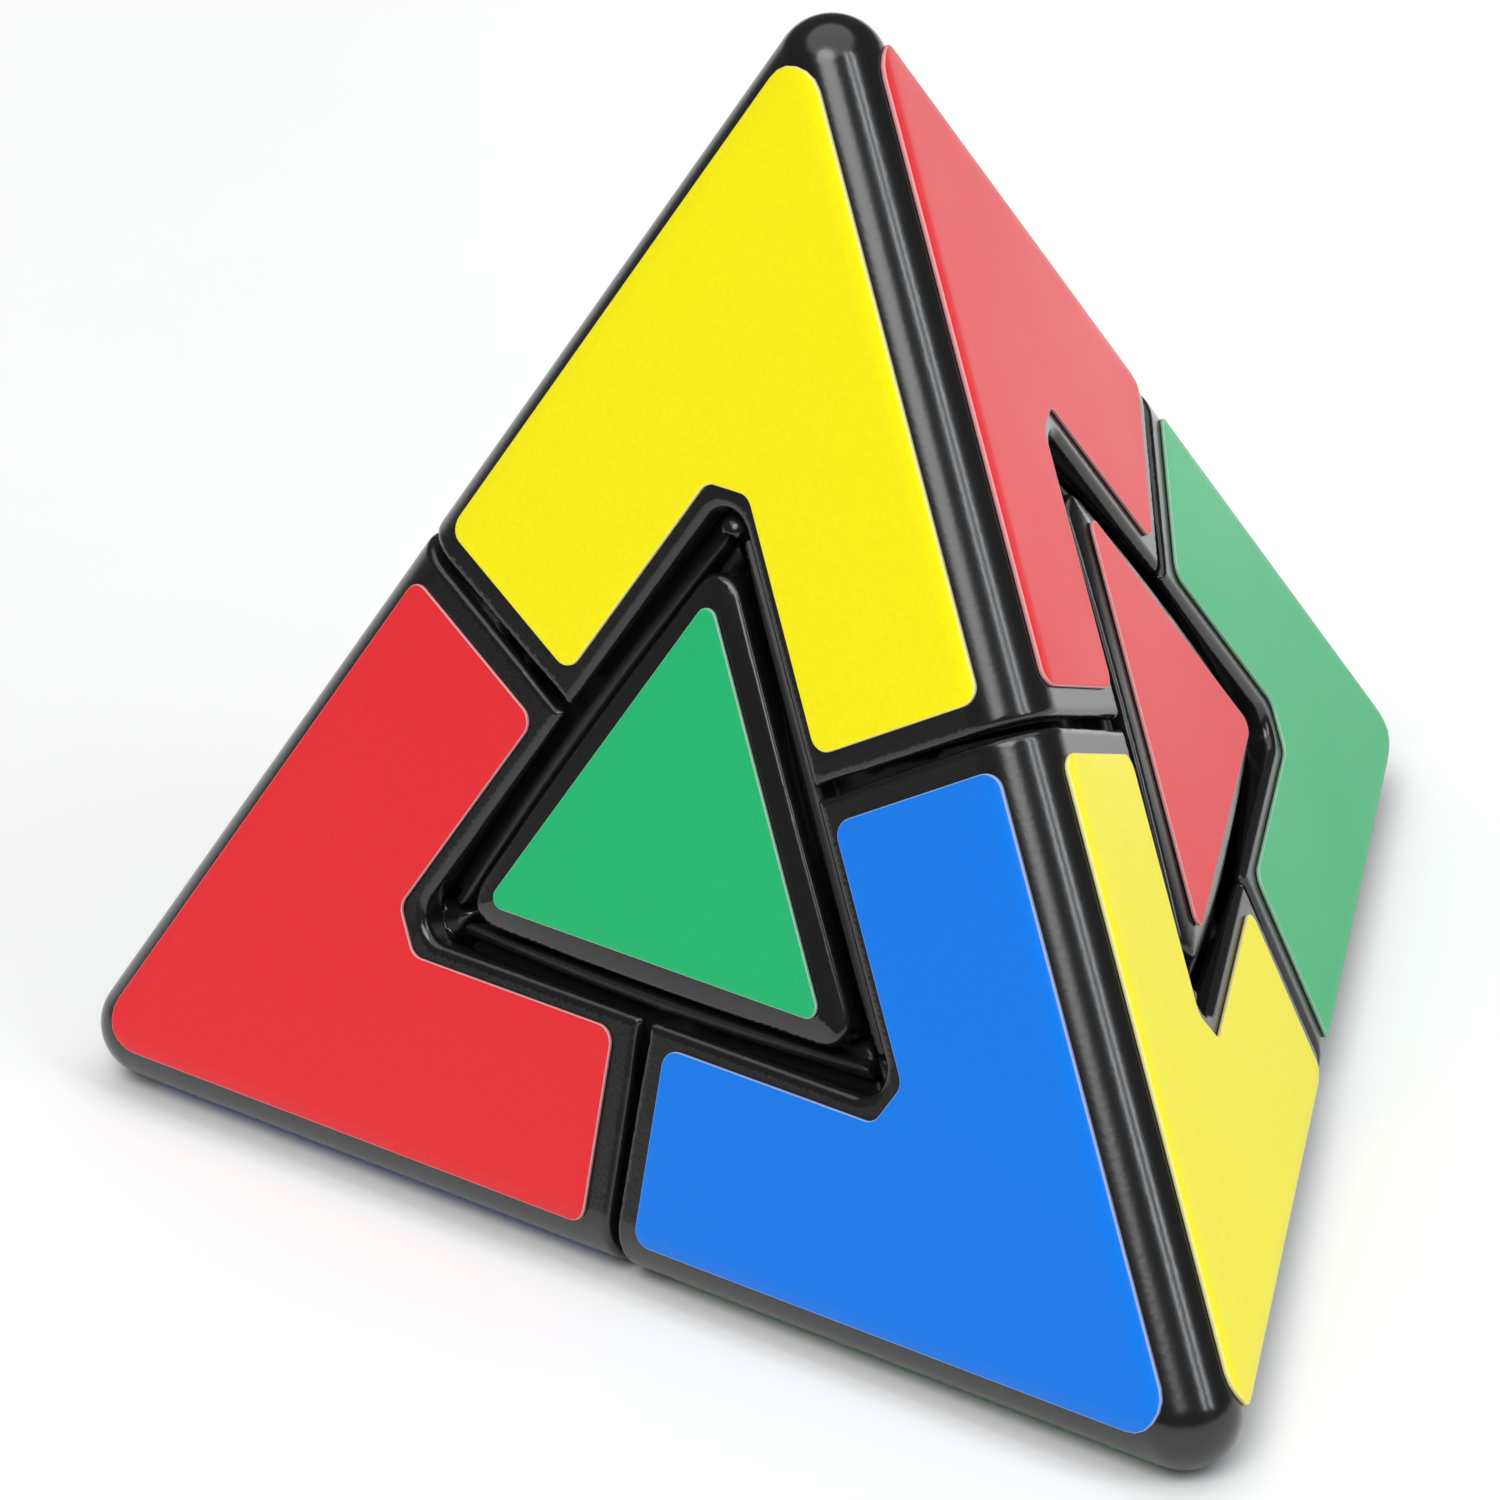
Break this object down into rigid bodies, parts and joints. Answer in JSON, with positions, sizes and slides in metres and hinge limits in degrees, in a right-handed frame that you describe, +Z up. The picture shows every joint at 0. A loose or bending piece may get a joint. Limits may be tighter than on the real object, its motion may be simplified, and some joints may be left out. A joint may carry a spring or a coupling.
{
  "type": "pyramid twisty puzzle",
  "caption": "Tetrahedral twisty puzzle with turning corners, triangular face centres in recesses, coloured stickers and a hidden four-post core.",
  "frame": {"origin": "middle of the side that the puzzle rests on, at the outer face of its stickers", "axes": "+Z up through the top corner; the front corner points along -Y, the left corner towards -X and the right corner towards +X"},
  "size_m": [0.0942, 0.0838, 0.0794],
  "materials": {
    "black_plastic": "satin black moulded plastic",
    "inner_plastic": "plain black moulded plastic",
    "steel": "plain steel",
    "sticker_yellow": "satin vinyl",
    "sticker_red": "satin vinyl",
    "sticker_blue": "satin vinyl",
    "sticker_green": "satin vinyl"
  },
  "bodies": {
    "core": {"core": "inner_plastic", "screw_top": "steel", "washer_top": "steel", "spring_top": "steel", "screw_front": "steel", "washer_front": "steel", "spring_front": "steel", "screw_left": "steel", "washer_left": "steel", "spring_left": "steel", "screw_right": "steel", "washer_right": "steel", "spring_right": "steel"},
    "corner_top": {"corner_shell_top": "black_plastic", "corner_insert_top": "inner_plastic", "sticker_back_face_top": "sticker_blue", "sticker_right_face_top": "sticker_red", "sticker_left_face_top": "sticker_yellow"},
    "corner_front": {"corner_shell_front": "black_plastic", "corner_insert_front": "inner_plastic", "sticker_base_face_front": "sticker_green", "sticker_right_face_front": "sticker_yellow", "sticker_left_face_front": "sticker_blue"},
    "corner_left": {"corner_shell_left": "black_plastic", "corner_insert_left": "inner_plastic", "sticker_base_face_left": "sticker_blue", "sticker_back_face_left": "sticker_green", "sticker_left_face_left": "sticker_red"},
    "corner_right": {"corner_shell_right": "black_plastic", "corner_insert_right": "inner_plastic", "sticker_base_face_right": "sticker_red", "sticker_back_face_right": "sticker_yellow", "sticker_right_face_right": "sticker_green"},
    "rail_top_front": {"rail_top_front": "inner_plastic"},
    "rail_top_right": {"rail_top_right": "inner_plastic"},
    "rail_top_left": {"rail_top_left": "inner_plastic"},
    "rail_front_left": {"rail_front_left": "inner_plastic"},
    "rail_front_right": {"rail_front_right": "inner_plastic"},
    "rail_left_right": {"rail_left_right": "inner_plastic"},
    "centre_base_face": {"centre_foot_base_face": "inner_plastic", "centre_cap_base_face": "black_plastic", "sticker_base_face_centre": "sticker_blue"},
    "centre_back_face": {"centre_foot_back_face": "inner_plastic", "centre_cap_back_face": "black_plastic", "sticker_back_face_centre": "sticker_yellow"},
    "centre_right_face": {"centre_foot_right_face": "inner_plastic", "centre_cap_right_face": "black_plastic", "sticker_right_face_centre": "sticker_red"},
    "centre_left_face": {"centre_foot_left_face": "inner_plastic", "centre_cap_left_face": "black_plastic", "sticker_left_face_centre": "sticker_green"}
  },
  "joints": [
    {"name": "twist_top", "type": "hinge", "parent": "core", "child": "corner_top", "pos_m": [0, 0, 0.02194], "axis": [0, 0, 1], "continuous": true},
    {"name": "twist_front", "type": "hinge", "parent": "core", "child": "corner_front", "pos_m": [0, 0, 0.02194], "axis": [0, -0.9428, -0.3333], "range_deg": [-360, 360]},
    {"name": "twist_left", "type": "hinge", "parent": "core", "child": "corner_left", "pos_m": [0, 0, 0.02194], "axis": [-0.8165, 0.4714, -0.3333], "range_deg": [-360, 360]},
    {"name": "twist_right", "type": "hinge", "parent": "core", "child": "corner_right", "pos_m": [0, 0, 0.02194], "axis": [0.8165, 0.4714, -0.3333], "range_deg": [-360, 360]},
    {"name": "rail_top_front_turn_front", "type": "hinge", "parent": "corner_top", "child": "rail_top_front", "pos_m": [0, 0, 0.02194], "axis": [0, -0.9428, -0.3333], "range_deg": [-360, 360]},
    {"name": "rail_front_left_turn_left", "type": "hinge", "parent": "corner_front", "child": "rail_front_left", "pos_m": [0, 0, 0.02194], "axis": [-0.8165, 0.4714, -0.3333], "range_deg": [-360, 360]},
    {"name": "rail_left_right_turn_right", "type": "hinge", "parent": "corner_left", "child": "rail_left_right", "pos_m": [0, 0, 0.02194], "axis": [0.8165, 0.4714, -0.3333], "range_deg": [-360, 360]},
    {"name": "rail_top_right_turn_top", "type": "hinge", "parent": "corner_right", "child": "rail_top_right", "pos_m": [0, 0, 0.02194], "axis": [0, 0, 1], "continuous": true},
    {"name": "rail_top_left_turn_left", "type": "hinge", "parent": "corner_top", "child": "rail_top_left", "pos_m": [0, 0, 0.02194], "axis": [-0.8165, 0.4714, -0.3333], "range_deg": [-360, 360]},
    {"name": "rail_front_right_turn_right", "type": "hinge", "parent": "corner_front", "child": "rail_front_right", "pos_m": [0, 0, 0.02194], "axis": [0.8165, 0.4714, -0.3333], "range_deg": [-360, 360]},
    {"name": "centre_left_face_turn_left", "type": "hinge", "parent": "rail_top_front", "child": "centre_left_face", "pos_m": [0, 0, 0.02194], "axis": [-0.8165, 0.4714, -0.3333], "range_deg": [-360, 360]},
    {"name": "centre_base_face_turn_right", "type": "hinge", "parent": "rail_front_left", "child": "centre_base_face", "pos_m": [0, 0, 0.02194], "axis": [0.8165, 0.4714, -0.3333], "range_deg": [-360, 360]},
    {"name": "centre_back_face_turn_top", "type": "hinge", "parent": "rail_left_right", "child": "centre_back_face", "pos_m": [0, 0, 0.02194], "axis": [0, 0, 1], "continuous": true},
    {"name": "centre_right_face_turn_front", "type": "hinge", "parent": "rail_top_right", "child": "centre_right_face", "pos_m": [0, 0, 0.02194], "axis": [0, -0.9428, -0.3333], "range_deg": [-360, 360]}
  ],
  "couplings": [
    {"joint": "rail_top_front_turn_front", "follows": "twist_front", "ratio": 1},
    {"joint": "rail_front_left_turn_left", "follows": "twist_left", "ratio": 1},
    {"joint": "rail_left_right_turn_right", "follows": "twist_right", "ratio": 1},
    {"joint": "rail_top_right_turn_top", "follows": "twist_top", "ratio": 1},
    {"joint": "rail_top_left_turn_left", "follows": "twist_left", "ratio": 1},
    {"joint": "rail_front_right_turn_right", "follows": "twist_right", "ratio": 1},
    {"joint": "centre_left_face_turn_left", "follows": "twist_left", "ratio": 1},
    {"joint": "centre_base_face_turn_right", "follows": "twist_right", "ratio": 1},
    {"joint": "centre_back_face_turn_top", "follows": "twist_top", "ratio": 1},
    {"joint": "centre_right_face_turn_front", "follows": "twist_front", "ratio": 1}
  ]
}
